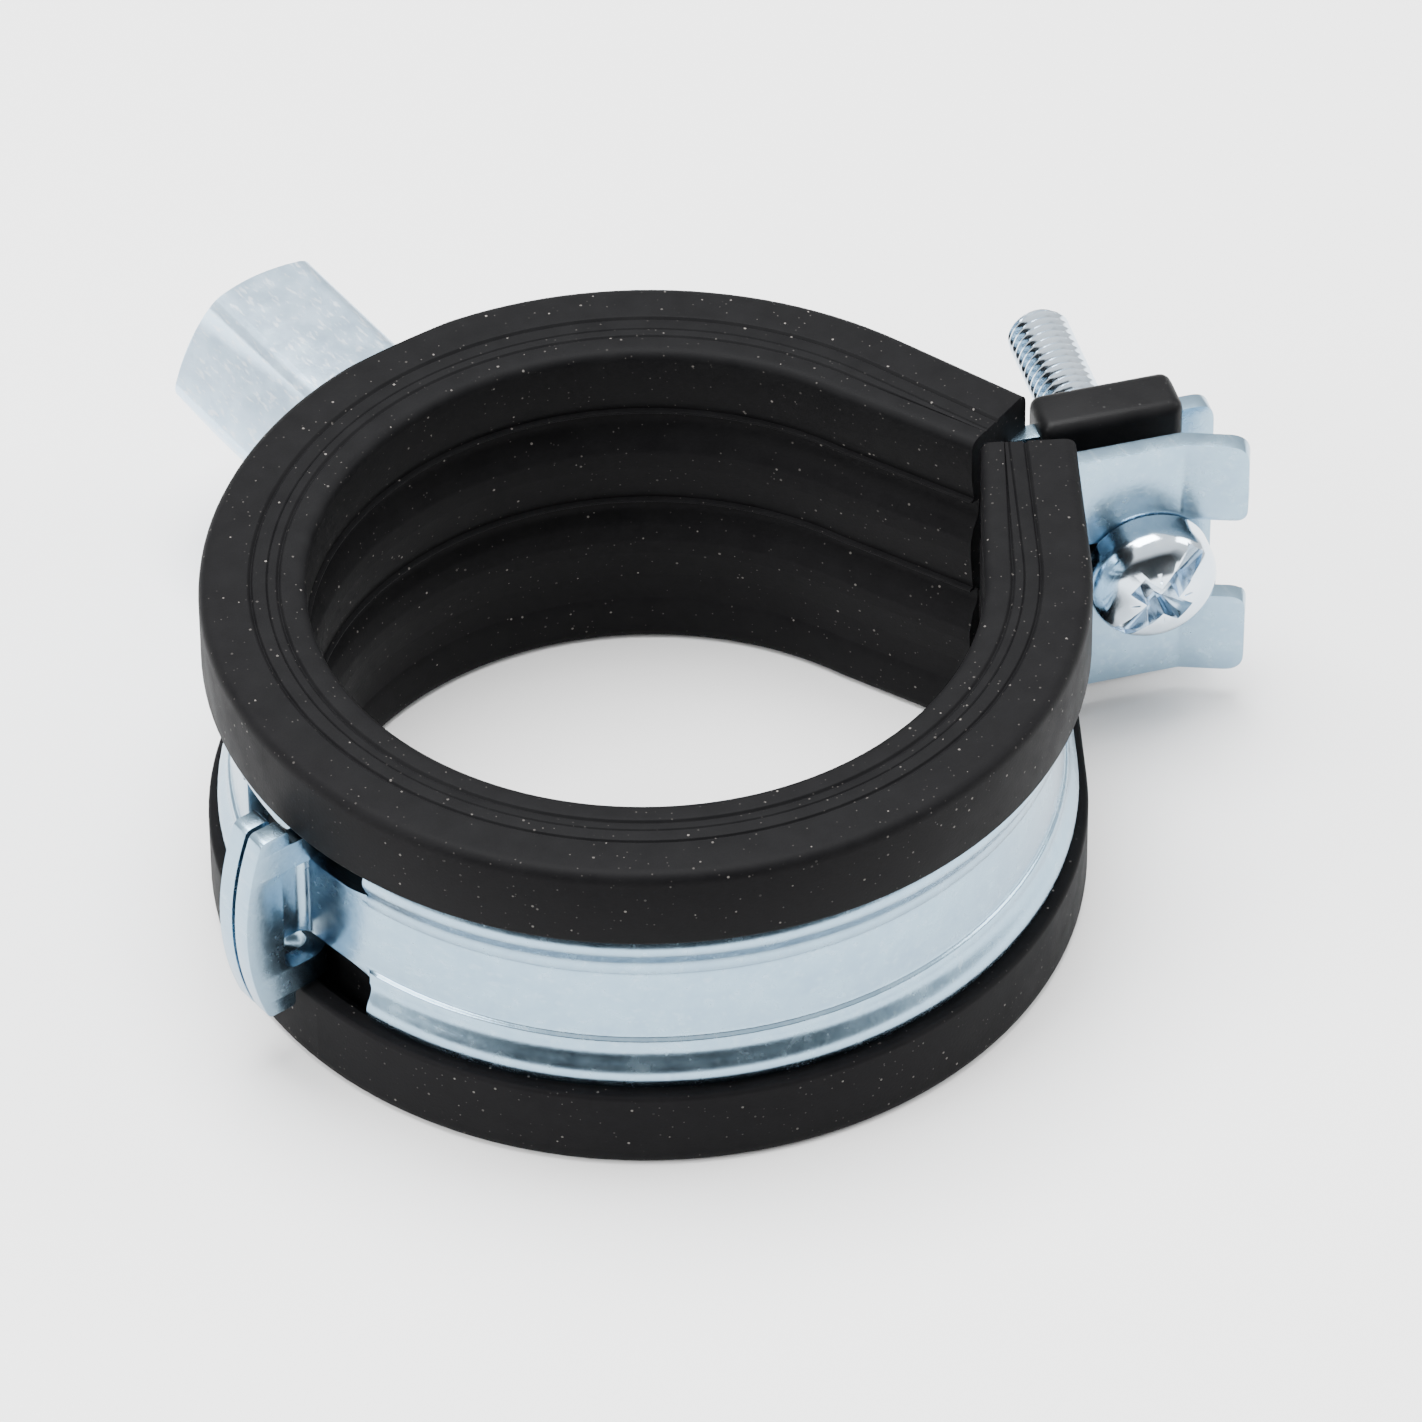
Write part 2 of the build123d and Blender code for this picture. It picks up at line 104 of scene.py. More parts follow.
def rounded(corners: Sequence[Flat], radii: Sequence[float], step: float = 12.0) -> list[Flat]:
    """Rounds the corners of an open line.

    Args:
        corners: the line's points; the first and the last stay as they are.
        radii: one radius for each inner corner, 0 to leave it sharp.
        step: largest angle between neighbouring points of an arc, in degrees.

    Returns:
        The points of the rounded line.
    """
    line = [corners[0]]
    for before, corner, after, radius in zip(corners, corners[1:], corners[2:], radii):
        back = Vector(before) - Vector(corner)
        ahead = Vector(after) - Vector(corner)
        turn = pi - back.angle(ahead)
        if radius <= 0 or turn < 0.01:
            line.append(corner)
            continue
        reach = min(radius * tan(turn / 2), 0.49 * back.length, 0.49 * ahead.length)
        start = Vector(corner) + back.normalized() * reach
        end = Vector(corner) + ahead.normalized() * reach
        count = max(2, ceil(degrees(turn) / step))
        for i in range(count + 1):
            t = i / count
            point = start * (1 - t) ** 2 + Vector(corner) * (2 * t * (1 - t)) + end * t ** 2
            line.append((point.x, point.y))
    line.append(corners[-1])
    return line


# --- bench: the operators that shape a piece --------------------------------------------------


class Bench:
    """Modelling moves on the piece in hand. Lengths are millimetres."""

    @staticmethod
    def clear() -> None:
        """Leaves edit mode and selects nothing."""
        if bpy.context.object and bpy.context.object.mode != "OBJECT":
            bpy.ops.object.mode_set(mode="OBJECT")
        bpy.ops.object.select_all(action="DESELECT")

    @staticmethod
    def hold(obj: bpy.types.Object) -> None:
        """Makes one object the active and only selected one."""
        Bench.clear()
        obj.select_set(True)
        bpy.context.view_layer.objects.active = obj

    @staticmethod
    def edit(obj: bpy.types.Object, select: str = "SELECT") -> None:
        """Opens an object in edit mode with all or nothing of it selected."""
        Bench.hold(obj)
        bpy.ops.object.mode_set(mode="EDIT")
        bpy.ops.mesh.select_all(action=select)

    @staticmethod
    def trace(name: str, points: Sequence[Sequence[float]], closed: bool = True) -> bpy.types.Object:
        """Draws a line by extruding one vertex from point to point.

        Args:
            name: the new object's name.
            points: places of the line, two or three numbers each.
            closed: whether the last point joins the first.

        Returns:
            The object, left in edit mode with the whole line selected.
        """
        places = [Vector((*point, 0.0)[:3]) for point in points]
        Bench.clear()
        bpy.ops.mesh.primitive_plane_add(size=1.0, location=(0, 0, 0))
        obj = bpy.context.object
        obj.name = name
        bpy.ops.object.mode_set(mode="EDIT")
        bpy.ops.mesh.merge(type="CENTER")
        bpy.ops.transform.translate(value=places[0])
        for start, end in zip(places, places[1:]):
            bpy.ops.mesh.extrude_vertices_move(TRANSFORM_OT_translate={"value": end - start})
        if closed:
            bpy.ops.object.mode_set(mode="OBJECT")
            count = len(obj.data.vertices)
            ends = sorted(range(count), key=lambda i: min((obj.data.vertices[i].co - places[0]).length,
                                                          (obj.data.vertices[i].co - places[-1]).length))
            bpy.ops.object.mode_set(mode="EDIT")
            bpy.ops.mesh.select_all(action="DESELECT")
            bpy.ops.object.mode_set(mode="OBJECT")
            for i in ends[:2]:
                obj.data.vertices[i].select = True
            bpy.ops.object.mode_set(mode="EDIT")
            bpy.ops.mesh.edge_face_add()
        bpy.ops.mesh.select_all(action="SELECT")
        return obj

    @staticmethod
    def cut(axis: int, places: Sequence[float]) -> None:
        """Cuts the whole piece square to an axis at each of these places."""
        normal = [0.0, 0.0, 0.0]
        normal[axis] = 1.0
        for place in places:
            spot = [0.0, 0.0, 0.0]
            spot[axis] = place
            bpy.ops.mesh.select_all(action="SELECT")
            bpy.ops.mesh.bisect(plane_co=spot, plane_no=normal, threshold=0.0005)

    @staticmethod
    def modify(obj: bpy.types.Object, kind: str, **settings: object) -> None:
        """Adds a modifier with these settings and applies it."""
        Bench.hold(obj)
        modifier = obj.modifiers.new(kind.lower(), kind)
        for key, value in settings.items():
            setattr(modifier, key, value)
        bpy.ops.object.modifier_apply(modifier=modifier.name)

    @staticmethod
    def carve(obj: bpy.types.Object, tool: bpy.types.Object, how: str = "DIFFERENCE") -> None:
        """Cuts, joins or trims an object with a tool, which is then removed."""
        Bench.modify(obj, "BOOLEAN", object=tool, operation=how, solver="EXACT")
        bpy.data.objects.remove(tool)

    @staticmethod
    def soften(obj: bpy.types.Object, width: float, segments: int = 2, angle: float = 40.0) -> None:
        """Rounds every edge that is sharper than an angle."""
        Bench.modify(obj, "BEVEL", width=width, segments=segments, limit_method="ANGLE",
                     angle_limit=radians(angle), use_clamp_overlap=True, miter_outer="MITER_ARC")

    @staticmethod
    def tidy(obj: bpy.types.Object, merge: float = 0.002) -> None:
        """Merges doubles and points every face outwards."""
        Bench.edit(obj)
        bpy.ops.mesh.remove_doubles(threshold=merge)
        bpy.ops.mesh.normals_make_consistent(inside=False)
        Bench.clear()

    @staticmethod
    def move(obj: bpy.types.Object, place: Matrix) -> None:
        """Applies a placement to the mesh."""
        Bench.hold(obj)
        obj.matrix_world = place
        bpy.ops.object.transform_apply(location=True, rotation=True, scale=True)

    @staticmethod
    def block(name: str, low: Sequence[float], high: Sequence[float]) -> bpy.types.Object:
        """A block between two corners, with its size applied."""
        Bench.clear()
        middle = [(a + b) / 2 for a, b in zip(low, high)]
        size = [b - a for a, b in zip(low, high)]
        bpy.ops.mesh.primitive_cube_add(size=1.0, location=middle, scale=size)
        bpy.ops.object.transform_apply(location=True, rotation=True, scale=True)
        bpy.context.object.name = name
        return bpy.context.object

    @staticmethod
    def lathe(name: str, section: Sequence[Flat], steps: int = 64) -> bpy.types.Object:
        """Spins a section, given as radius and height, once about Z into a closed shape."""
        obj = Bench.trace(name, [(r, 0.0, z) for r, z in section], closed=False)
        bpy.ops.mesh.spin(steps=steps, angle=2 * pi, center=(0, 0, 0), axis=(0, 0, 1))
        Bench.tidy(obj)
        return obj

    @staticmethod
    def finish(obj: bpy.types.Object, angle: float = 35.0) -> None:
        """Scales a piece to metres, applies that and shades it smooth up to an angle."""
        Bench.hold(obj)
        obj.scale = (MM, MM, MM)
        bpy.ops.object.transform_apply(location=True, rotation=True, scale=True)
        bpy.ops.object.shade_smooth_by_angle(angle=radians(angle))
        log.info("%s: %d faces", obj.name, len(obj.data.polygons))


# --- finishes -----------------------------------------------------------------------------------


class Sheet:
    """A node tree with short calls to add and join nodes."""

    def __init__(self, tree: bpy.types.NodeTree) -> None:
        """Takes the tree to draw in."""
        self.tree = tree

    def add(self, kind: str, **values: object) -> bpy.types.Node:
        """Adds a node.

        Args:
            kind: the node's type name.
            values: settings of the node, or values of its inputs with _ for a space.

        Returns:
            The new node.
        """
        node = self.tree.nodes.new(kind)
        for key, value in values.items():
            if hasattr(node, key):
                setattr(node, key, value)
                continue
            socket = node.inputs[int(key[1:])] if key[1:].isdigit() else node.inputs[key.replace("_", " ")]
            if isinstance(value, bpy.types.NodeSocket):
                self.tree.links.new(value, socket)
            else:
                socket.default_value = value
        return node

    def join(self, start: bpy.types.NodeSocket, end: bpy.types.NodeSocket) -> None:
        """Links an output to an input."""
        self.tree.links.new(start, end)


class Effect:
    """Builds the shader groups that several finishes share."""

    @staticmethod
    def group(name: str, inputs: dict[str, float], outputs: Sequence[str]) -> tuple[bpy.types.NodeTree, Sheet]:
        """Makes an empty group.

        Args:
            name: the group's name.
            inputs: the named values that it takes, with their defaults.
            outputs: the named values that it puts out.

        Returns:
            The group and a sheet to draw in it.
        """
        tree = bpy.data.node_groups.new(name, "ShaderNodeTree")
        tree.interface.new_socket("Coordinates", in_out="INPUT", socket_type="NodeSocketVector")
        for title, value in inputs.items():
            socket = tree.interface.new_socket(title, in_out="INPUT", socket_type="NodeSocketFloat")
            socket.default_value = value
        for title in outputs:
            tree.interface.new_socket(title, in_out="OUTPUT", socket_type="NodeSocketFloat")
        return tree, Sheet(tree)

    @staticmethod
    def grain() -> bpy.types.NodeTree:
        """Fine grain over a broad tone: a height for a bump and a tone for colour and gloss."""
        tree, sheet = Effect.group("grain", {"Fine": 2500.0, "Broad": 150.0, "Contrast": 1.0},
                                   ("Height", "Tone"))
        ins = sheet.add("NodeGroupInput").outputs
        fine = sheet.add("ShaderNodeTexNoise", Vector=ins["Coordinates"], Scale=ins["Fine"],
                         Detail=4.0, Roughness=0.6)
        broad = sheet.add("ShaderNodeTexNoise", Vector=ins["Coordinates"], Scale=ins["Broad"],
                          Detail=3.0, Roughness=0.55)
        centred = sheet.add("ShaderNodeMath", operation="SUBTRACT", i0=broad.outputs[0], i1=0.5)
        spread = sheet.add("ShaderNodeMath", operation="MULTIPLY_ADD", i0=centred.outputs[0],
                           i1=ins["Contrast"], i2=0.5, use_clamp=True)
        outs = sheet.add("NodeGroupOutput")
        sheet.join(fine.outputs[0], outs.inputs["Height"])
        sheet.join(spread.outputs[0], outs.inputs["Tone"])
        return tree

    @staticmethod
    def specks() -> bpy.types.NodeTree:
        """Scattered small specks of uneven strength: up to 1 on a speck and 0 between them."""
        tree, sheet = Effect.group("specks", {"Scale": 900.0, "Size": 0.1, "Share": 0.2}, ("Mask",))
        ins = sheet.add("NodeGroupInput").outputs
        cells = sheet.add("ShaderNodeTexVoronoi", Vector=ins["Coordinates"], Scale=ins["Scale"])
        near = sheet.add("ShaderNodeMath", operation="LESS_THAN", i0=cells.outputs["Distance"], i1=ins["Size"])
        pick = sheet.add("ShaderNodeSeparateColor")
        sheet.join(cells.outputs["Color"], pick.inputs[0])
        chosen = sheet.add("ShaderNodeMath", operation="LESS_THAN", i0=pick.outputs[0], i1=ins["Share"])
        both = sheet.add("ShaderNodeMath", operation="MULTIPLY", i0=near.outputs[0], i1=chosen.outputs[0])
        uneven = sheet.add("ShaderNodeMath", operation="MULTIPLY", i0=both.outputs[0], i1=pick.outputs[1])
        outs = sheet.add("NodeGroupOutput")
        sheet.join(uneven.outputs[0], outs.inputs["Mask"])
        return tree

    @staticmethod
    def streaks() -> bpy.types.NodeTree:
        """Short fine scratches, along Y unless turned about Z: up to 1 on a scratch."""
        tree, sheet = Effect.group("streaks", {"Scale": 1500.0, "Stretch": 0.12, "Turn": 0.0}, ("Mask",))
        ins = sheet.add("NodeGroupInput").outputs
        turn = sheet.add("ShaderNodeCombineXYZ")
        sheet.join(ins["Turn"], turn.inputs[2])
        stretch = sheet.add("ShaderNodeCombineXYZ", X=1.0, Z=1.0)
        sheet.join(ins["Stretch"], stretch.inputs[1])
        place = sheet.add("ShaderNodeMapping", Vector=ins["Coordinates"], Rotation=turn.outputs[0],
                          Scale=stretch.outputs[0])
        lines = sheet.add("ShaderNodeTexNoise", Vector=place.outputs[0], Scale=ins["Scale"], Detail=2.0,
                          Roughness=0.5)
        sharp = sheet.add("ShaderNodeMapRange", Value=lines.outputs[0], From_Min=0.60, From_Max=0.70)
        outs = sheet.add("NodeGroupOutput")
        sheet.join(sharp.outputs[0], outs.inputs["Mask"])
        return tree


@dataclass(frozen=True)
class Zinc:
    """Bright zinc plating on steel."""

    name: str
    light: tuple[float, float, float] = (0.31, 0.45, 0.56)
    dark: tuple[float, float, float] = (0.24, 0.36, 0.47)
    scratch: tuple[float, float, float] = (0.65, 0.75, 0.83)
    gloss: tuple[float, float] = (0.20, 0.30)
    fine: float = 2400.0
    broad: float = 500.0
    bump: float = 0.5
    scratches: float = 0.1
    scratch_scale: float = 1500.0
    scratch_stretch: float = 0.12

    def build(self, effects: dict[str, bpy.types.NodeTree]) -> bpy.types.Material:
        """Makes the material from the shared effects."""
        material, sheet, shader, place = new_material(self.name)
        grain = sheet.add("ShaderNodeGroup", node_tree=effects["grain"], Coordinates=place, Fine=self.fine,
                          Broad=self.broad, Contrast=1.8)
        one, two = (sheet.add("ShaderNodeGroup", node_tree=effects["streaks"], Coordinates=place, Turn=turn,
                              Scale=self.scratch_scale, Stretch=self.scratch_stretch) for turn in (0.5, -0.7))
        streaks = sheet.add("ShaderNodeMath", operation="MAXIMUM", i0=one.outputs["Mask"],
                            i1=two.outputs["Mask"])
        worn = sheet.add("ShaderNodeMath", operation="MULTIPLY", i0=streaks.outputs[0], i1=self.scratches)
        ground = sheet.add("ShaderNodeMix", data_type="RGBA")
        sheet.join(grain.outputs["Tone"], ground.inputs[0])
        ground.inputs[6].default_value = (*self.dark, 1.0)
        ground.inputs[7].default_value = (*self.light, 1.0)
        colour = sheet.add("ShaderNodeMix", data_type="RGBA")
        sheet.join(worn.outputs[0], colour.inputs[0])
        sheet.join(ground.outputs[2], colour.inputs[6])
        colour.inputs[7].default_value = (*self.scratch, 1.0)
        sheet.join(colour.outputs[2], shader.inputs["Base Color"])
        gloss = sheet.add("ShaderNodeMapRange", Value=grain.outputs["Tone"], To_Min=self.gloss[0],
                          To_Max=self.gloss[1])
        scratched = sheet.add("ShaderNodeMath", operation="MULTIPLY_ADD", i0=worn.outputs[0], i1=0.2,
                              i2=gloss.outputs[0])
        sheet.join(scratched.outputs[0], shader.inputs["Roughness"])
        height = sheet.add("ShaderNodeMath", operation="MULTIPLY_ADD", i0=worn.outputs[0], i1=-0.2,
                           i2=grain.outputs["Height"])
        bump = sheet.add("ShaderNodeBump", Strength=self.bump, Distance=0.00002, Height=height.outputs[0])
        sheet.join(bump.outputs[0], shader.inputs["Normal"])
        shader.inputs["Metallic"].default_value = 1.0
        return material


@dataclass(frozen=True)
class Rubber:
    """Moulded black rubber with pale specks of filler."""

    name: str
    light: tuple[float, float, float] = (0.0075, 0.0075, 0.008)
    dark: tuple[float, float, float] = (0.004, 0.004, 0.0045)
    speck: tuple[float, float, float] = (0.15, 0.14, 0.13)
    gloss: tuple[float, float] = (0.50, 0.66)
    level: float = 0.05
    bump: float = 0.5

    def build(self, effects: dict[str, bpy.types.NodeTree]) -> bpy.types.Material:
        """Makes the material from the shared effects."""
        material, sheet, shader, place = new_material(self.name)
        grain = sheet.add("ShaderNodeGroup", node_tree=effects["grain"], Coordinates=place, Fine=3800.0,
                          Broad=420.0, Contrast=1.6)
        large = sheet.add("ShaderNodeGroup", node_tree=effects["specks"], Coordinates=place, Scale=800.0,
                          Size=0.08, Share=1.0)
        small = sheet.add("ShaderNodeGroup", node_tree=effects["specks"], Coordinates=place, Scale=2000.0,
                          Size=0.13, Share=0.5)
        specks = sheet.add("ShaderNodeMath", operation="MULTIPLY_ADD", i0=small.outputs["Mask"], i1=0.35,
                           i2=large.outputs["Mask"], use_clamp=True)
        ground = sheet.add("ShaderNodeMix", data_type="RGBA")
        sheet.join(grain.outputs["Tone"], ground.inputs[0])
        ground.inputs[6].default_value = (*self.dark, 1.0)
        ground.inputs[7].default_value = (*self.light, 1.0)
        colour = sheet.add("ShaderNodeMix", data_type="RGBA")
        sheet.join(specks.outputs[0], colour.inputs[0])
        sheet.join(ground.outputs[2], colour.inputs[6])
        colour.inputs[7].default_value = (*self.speck, 1.0)
        sheet.join(colour.outputs[2], shader.inputs["Base Color"])
        gloss = sheet.add("ShaderNodeMapRange", Value=grain.outputs["Tone"], To_Min=self.gloss[0],
                          To_Max=self.gloss[1])
        sheet.join(gloss.outputs[0], shader.inputs["Roughness"])
        bump = sheet.add("ShaderNodeBump", Strength=self.bump, Distance=0.00003,
                         Height=grain.outputs["Height"])
        sheet.join(bump.outputs[0], shader.inputs["Normal"])
        shader.inputs["Specular IOR Level"].default_value = self.level
        return material


def new_material(name: str) -> tuple[bpy.types.Material, Sheet, bpy.types.Node, bpy.types.NodeSocket]:
    """Makes a material with a Principled shader.

    Args:
        name: the material's name.

    Returns:
        The material, a sheet to draw in, the shader node and the object coordinates.
    """
    material = bpy.data.materials.new(name)
    material.use_nodes = True
    sheet = Sheet(material.node_tree)
    shader = material.node_tree.nodes["Principled BSDF"]
    place = sheet.add("ShaderNodeTexCoord").outputs["Object"]
    return material, sheet, shader, place


class Finishes:
    """Every finish of the clamp, built once."""

    def __init__(self) -> None:
        """Builds the shared effects and the materials."""
        effects = {"grain": Effect.grain(), "specks": Effect.specks(), "streaks": Effect.streaks()}
        self.strap = Zinc("strap_zinc").build(effects)
        self.nut = Zinc("nut_zinc", light=(0.62, 0.80, 0.95), dark=(0.50, 0.68, 0.86), scratch=(1.0, 1.0, 1.0),
                        gloss=(0.26, 0.38), scratches=0.4, scratch_scale=2600.0,
                        scratch_stretch=0.3).build(effects)
        self.screw = Zinc("screw_zinc", light=(0.72, 0.81, 0.90), dark=(0.58, 0.70, 0.81),
                          gloss=(0.10, 0.17), bump=0.15, scratches=0.1).build(effects)
        self.rubber = Rubber("liner_rubber").build(effects)
        self.plastic = Rubber("retainer_plastic", light=(0.006, 0.006, 0.0065), dark=(0.003, 0.003, 0.0035),
                              speck=(0.03, 0.03, 0.03), gloss=(0.40, 0.52), level=0.1).build(effects)


def dress(obj: bpy.types.Object, material: bpy.types.Material) -> None:
    """Gives a piece its finish."""
    obj.data.materials.clear()
    obj.data.materials.append(material)


# --- sheet metal ----------------------------------------------------------------------------------


@dataclass(frozen=True)
class Leg:
    """A straight or an arc of a route."""

    start: float
    length: float
    origin: Vector
    heading: float
    turn: float = 0.0


@dataclass
class Route:
    """The line that a strap's outer face follows, seen along the pipe."""

    outward: int
    legs: list[Leg] = field(default_factory=list)

    @classmethod
    def through(cls, corners: Sequence[Vector], radii: Sequence[float], outward: int) -> "Route":
        """Lays straights through the corners and an arc round each inner one.

        Args:
            corners: the line's corners, ends included.
            radii: the radius at each inner corner.
            outward: 1 if the strap's outside is on the left of the line, -1 on the right.

        Returns:
            The route.
        """
        route = cls(outward)
        here = corners[0].copy()
        length = 0.0
        for corner, after, radius in zip(corners[1:-1], corners[2:], radii):
            heading = atan2(corner.y - here.y, corner.x - here.x)
            ahead = atan2(after.y - corner.y, after.x - corner.x)
            turn = (ahead - heading + pi) % (2 * pi) - pi
            straight = (corner - here).length - radius * tan(abs(turn) / 2)
            route.legs.append(Leg(length, straight, here, heading))
            length += straight
            here = here + Vector((cos(heading), sin(heading), 0)) * straight
            route.legs.append(Leg(length, radius * abs(turn), here, heading, turn))
            length += radius * abs(turn)
            here = route.at(length)[0]
        heading = atan2(corners[-1].y - here.y, corners[-1].x - here.x)
        route.legs.append(Leg(length, (corners[-1] - here).length, here, heading))
        return route

    @property
    def length(self) -> float:
        """Length of the whole route."""
        return self.legs[-1].start + self.legs[-1].length

    def at(self, u: float) -> tuple[Vector, Vector]:
        """Point at a length along the route, and the direction away from the pipe there."""
        leg = [leg for leg in self.legs if leg.start <= u or leg is self.legs[0]][-1]
        way = u - leg.start
        if leg.turn:
            swept = leg.turn * way / leg.length
            radius = leg.length / leg.turn
            centre = leg.origin + Vector((-sin(leg.heading), cos(leg.heading), 0)) * radius
            heading = leg.heading + swept
            point = centre + Vector((sin(heading), -cos(heading), 0)) * radius
        else:
            heading = leg.heading
            point = leg.origin + Vector((cos(heading), sin(heading), 0)) * way
        return point, Vector((-sin(heading), cos(heading), 0)) * self.outward

    def cuts(self, largest: float = 3.0, finest: float = 12.0) -> list[float]:
        """Lengths at which the blank is cut so that it bends cleanly."""
        found = []
        for leg in self.legs:
            if leg.turn:
                step = finest if abs(leg.length / leg.turn) < 10 else largest
                count = max(2, ceil(abs(degrees(leg.turn)) / step))
                found += [leg.start + leg.length * i / count for i in range(count + 1)]
        return found

    def locate(self, point: Vector) -> float:
        """Length along the route at which it passes nearest to a point."""
        count = 4000
        return min((self.length * i / count for i in range(count + 1)),
                   key=lambda u: (self.at(u)[0] - point).length)


def ramp(value: float, start: float, end: float) -> float:
    """Rises smoothly from 0 at start to 1 at end."""
    t = min(1.0, max(0.0, (value - start) / (end - start)))
    return t * t * (3 - 2 * t)


@dataclass
class Strap:
    """What the two strap halves share: strip, beads and hinge ear."""

    sheet: float = 1.5
    strip: float = 10.0
    outside: float = 31.3
    bead: float = 1.1
    bead_foot: float = 3.15
    bead_step: float = 0.28
    bead_start: float = 4.1
    bead_end: float = 8.6
    ear_top: float = 38.0
    ear_sagitta: float = 1.7
    ear_half: float = 8.7
    lead: float = 5.0
    bend: float = 1.0
    edge: float = 0.5

    def ear_edge(self) -> list[Flat]:
        """The ear's curved edge from its middle towards its corner."""
        radius = (self.ear_half ** 2 + self.ear_sagitta ** 2) / (2 * self.ear_sagitta)
        heights = [self.ear_half * i / 10 for i in range(11)]
        return [(radius - sqrt(radius ** 2 - z ** 2), z) for z in heights]

    def bead_height(self, z: float) -> float:
        """Height of the beads over the flat middle at a distance from mid width."""
        ledge = self.bead_step * ramp(abs(z), self.bead_foot, self.bead_foot + 0.3)
        share = min(1.0, max(0.0, (abs(z) - self.bead_start) / (self.bead_end - self.bead_start)))
        return ledge + (self.bead - self.bead_step) * (1 - cos(2 * pi * share)) / 2

    def press(self, name: str, route: Route, outline: Sequence[Flat], height: Callable[[float, float], float],
              extra: Sequence[float] = ()) -> bpy.types.Object:
        """Cuts half a flat blank, mirrors it, presses it along its route and gives it its thickness.

        Args:
            name: the piece's name.
            route: the line of its outer face.
            outline: half of the blank's outline, as length along the route and distance from mid width.
            height: how far the face is pressed outwards at such a place.
            extra: more lengths at which the blank is cut.

        Returns:
            The finished strap.
        """
        blank = Bench.trace(name, outline)
        bpy.ops.mesh.edge_face_add()
        Bench.cut(0, sorted({*route.cuts(), *extra}))
        Bench.cut(1, [2.9, 3.15, 3.22, 3.3, 3.38, 3.45, *(4.1 + 0.225 * i for i in range(21)), 9.0])
        Bench.clear()
        Bench.modify(blank, "MIRROR", use_axis=(False, True, False), merge_threshold=0.001)
        for vertex in blank.data.vertices:
            u, z = vertex.co.x, vertex.co.y
            point, out = route.at(u)
            vertex.co = point + out * height(u, z) + Vector((0, 0, z))
        if route.outward > 0:
            Bench.edit(blank)
            bpy.ops.mesh.flip_normals()
            Bench.clear()
        Bench.modify(blank, "SOLIDIFY", thickness=self.sheet, offset=-1.0, use_even_offset=True)
        return blank


@dataclass
class NutStrap(Strap):
    """The half that carries the hanger nut, with a window in its hinge ear."""

    lead: float = 2.4
    tangent: float = 19.5
    flange_n: float = 12.0
    flange_end: float = 47.5
    flange_half: float = 11.1
    ear_root: float = 33.9
    leg_half: float = 7.3
    window_half: float = 4.9
    window_top: float = 34.7
    window_back: float = 10.3
    screw_at: float = 41.0
    screw_hole: float = 2.6
    seat: float = 31.8

    def route(self) -> Route:
        """The outer face from the ear's tip to the flange's end."""
        closing = radians(self.tangent - CLOSURE.angle)
        meet = (self.outside - self.flange_n * sin(closing)) / cos(closing)
        start = HINGE.angle - self.lead
        half = (start - self.tangent) / 2
        corners = [HINGE.point(self.ear_top, 0),
                   HINGE.point(self.outside / cos(radians(self.lead)), 0),
                   polar(self.tangent + half, self.outside / cos(radians(half))),
                   CLOSURE.point(meet, self.flange_n), CLOSURE.point(self.flange_end, self.flange_n)]
        return Route.through(corners, [self.bend, self.outside, self.bend], outward=1)

    def build(self, finishes: Finishes) -> bpy.types.Object:
        """Makes and dresses the strap."""
        route = self.route()
        end = route.length
        flange = end - (self.flange_end - 30.9)
        band = route.locate(polar(HINGE.angle - self.lead, self.outside))
        back = route.locate(HINGE.point(self.outside, -self.window_back))
        hole = end - (self.flange_end - self.screw_at)
        outer = rounded([*self.ear_edge(), (self.ear_top - self.ear_root, self.ear_half),
                         (self.ear_top - self.ear_root, self.leg_half), (band, self.leg_half),
                         (band + 0.6, self.strip), (flange, self.strip), (flange + 0.5, self.flange_half),
                         (end, self.flange_half), (end, 0.0)],
                        [0.0] * 9 + [1.8, 0.5, 0.4, 0.8, 0.5, 0.4, 0.4, 1.5])
        arc = [(hole + self.screw_hole * cos(radians(a)), self.screw_hole * sin(radians(a)))
               for a in range(0, 181, 15)]
        window = rounded([(back, 0.0), (back, self.window_half), (self.ear_top - self.window_top, self.window_half),
                          (self.ear_top - self.window_top, 0.0)], [1.1, 1.15])
        straight = route.legs[5].start - 3.0

        def height(u: float, z: float) -> float:
            """Beads that fade out before the ear and before the closure's bend."""
            return self.bead_height(z) * ramp(u, band - 0.2, band + 1.6) * (1 - ramp(u, straight - 1.5, straight))

        fades = [band + i * 0.3 for i in range(7)] + [straight - 1.5 + i * 0.3 for i in range(6)]
        strap = self.press("strap_nut", route, [*outer, *arc, *window], height, fades)
        for vertex in strap.data.vertices:
            if vertex.co.y > self.seat and abs(vertex.co.x) < self.strip:
                vertex.co.y = self.seat
        Bench.soften(strap, self.edge, 3, angle=55)
        Bench.finish(strap)
        dress(strap, finishes.strap)
        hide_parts("strap_nut_half")
        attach(strap, Body.NUT_HALF.value)
        return strap


